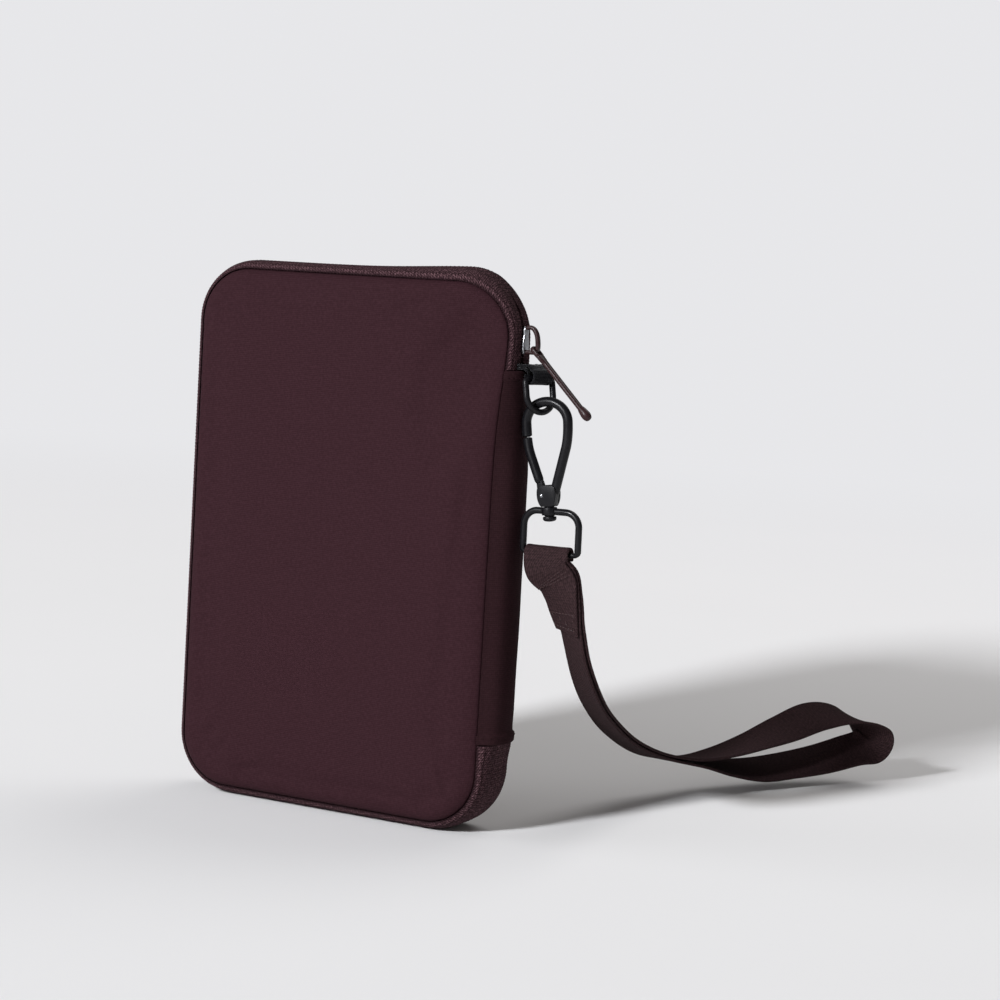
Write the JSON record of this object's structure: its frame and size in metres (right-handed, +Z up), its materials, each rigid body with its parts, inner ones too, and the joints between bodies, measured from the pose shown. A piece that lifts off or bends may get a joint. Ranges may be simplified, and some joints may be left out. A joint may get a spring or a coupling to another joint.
{
  "type": "travel document wallet",
  "caption": "Padded fabric document wallet with a soft spine and a zip round three sides, stepped pockets inside, and a swivel snap hook with a webbing hand loop.",
  "frame": {"origin": "middle of the bottom edge, on the outside of the zip tape that the wallet stands on", "axes": "+Z up, -Y out of the front cover, +X towards the spine and its strap"},
  "size_m": [0.2517, 0.252, 0.23],
  "materials": {
    "cover_fabric": "smooth dark brown stretch weave, low sheen",
    "foam": "matt dark foam",
    "lining_fabric": "plain dark lining weave",
    "zip_tape": "ribbed brown zip tape",
    "zip_coil": "dark brown nylon",
    "webbing": "dark brown webbing",
    "tab_webbing": "black webbing",
    "black_metal": "black plated, satin",
    "enamel": "dark brown glossy enamel",
    "steel": "plain steel"
  },
  "bodies": {
    "back": {"back_panel": "cover_fabric", "back_foam": "foam", "back_lining": "lining_fabric", "back_binding": "lining_fabric", "zip_tape_back": "zip_tape", "zip_coil_back": "zip_coil", "passport_pocket": "lining_fabric"},
    "spine": {"spine_gusset": "cover_fabric", "spine_lining": "lining_fabric", "zip_end_top": "zip_tape", "zip_end_bottom": "zip_tape", "ring_tab": "tab_webbing"},
    "cover": {"front_panel": "cover_fabric", "front_foam": "foam", "front_lining": "lining_fabric", "front_binding": "lining_fabric", "zip_tape_front": "zip_tape", "zip_coil_front": "zip_coil", "ticket_pocket": "lining_fabric", "card_slot_1": "lining_fabric", "card_slot_2": "lining_fabric", "card_slot_3": "lining_fabric"},
    "slider": {"zip_slider": "enamel"},
    "pull": {"zip_pull": "enamel"},
    "ring": {"d_ring": "black_metal"},
    "hook": {"hook_body": "black_metal", "gate_pin": "steel", "gate_spring": "steel", "swivel_rivet": "black_metal"},
    "gate": {"hook_gate": "black_metal"},
    "frame": {"swivel_frame": "black_metal"},
    "strap": {"wrist_strap": "webbing"}
  },
  "joints": [
    {"name": "spine_fold", "type": "hinge", "parent": "back", "child": "spine", "pos_m": [0.0718, 0.0145, 0.115], "axis": [0, 0, 1], "range_deg": [0, 90]},
    {"name": "cover_fold", "type": "hinge", "parent": "spine", "child": "cover", "pos_m": [0.0718, -0.0145, 0.115], "axis": [0, 0, 1], "range_deg": [0, 90]},
    {"name": "slider_travel", "type": "hinge", "parent": "spine", "child": "slider", "pos_m": [0.0495, 0, 0.204], "axis": [0, -1, 0], "range_deg": [0, 22]},
    {"name": "pull_swing", "type": "hinge", "parent": "slider", "child": "pull", "pos_m": [0.0802, 0, 0.20115], "axis": [0, -1, 0], "range_deg": [0, 90]},
    {"name": "ring_swing", "type": "hinge", "parent": "spine", "child": "ring", "pos_m": [0.0835, 0, 0.1887], "axis": [-0.4226, -0.9063, 0], "range_deg": [0, 9]},
    {"name": "hook_swing", "type": "hinge", "parent": "ring", "child": "hook", "pos_m": [0.08576, -0.00105, 0.17696], "axis": [1, 0, 0], "range_deg": [-18, 14]},
    {"name": "gate_swing", "type": "hinge", "parent": "hook", "child": "gate", "pos_m": [0.08959, -0.00105, 0.14201], "axis": [0, 1, 0], "range_deg": [0, 25], "stiffness_Nm_per_rad": 0.02, "springref_deg": -17.19},
    {"name": "swivel_turn", "type": "hinge", "parent": "hook", "child": "frame", "pos_m": [0.09264, -0.00105, 0.13471], "axis": [-0.1132, 0, 0.9936], "range_deg": [-60, 5]},
    {"name": "strap_swing", "type": "hinge", "parent": "frame", "child": "strap", "pos_m": [0.09434, -0.00105, 0.11981], "axis": [0.9936, 0, 0.1132], "range_deg": [-25, 10]}
  ]
}
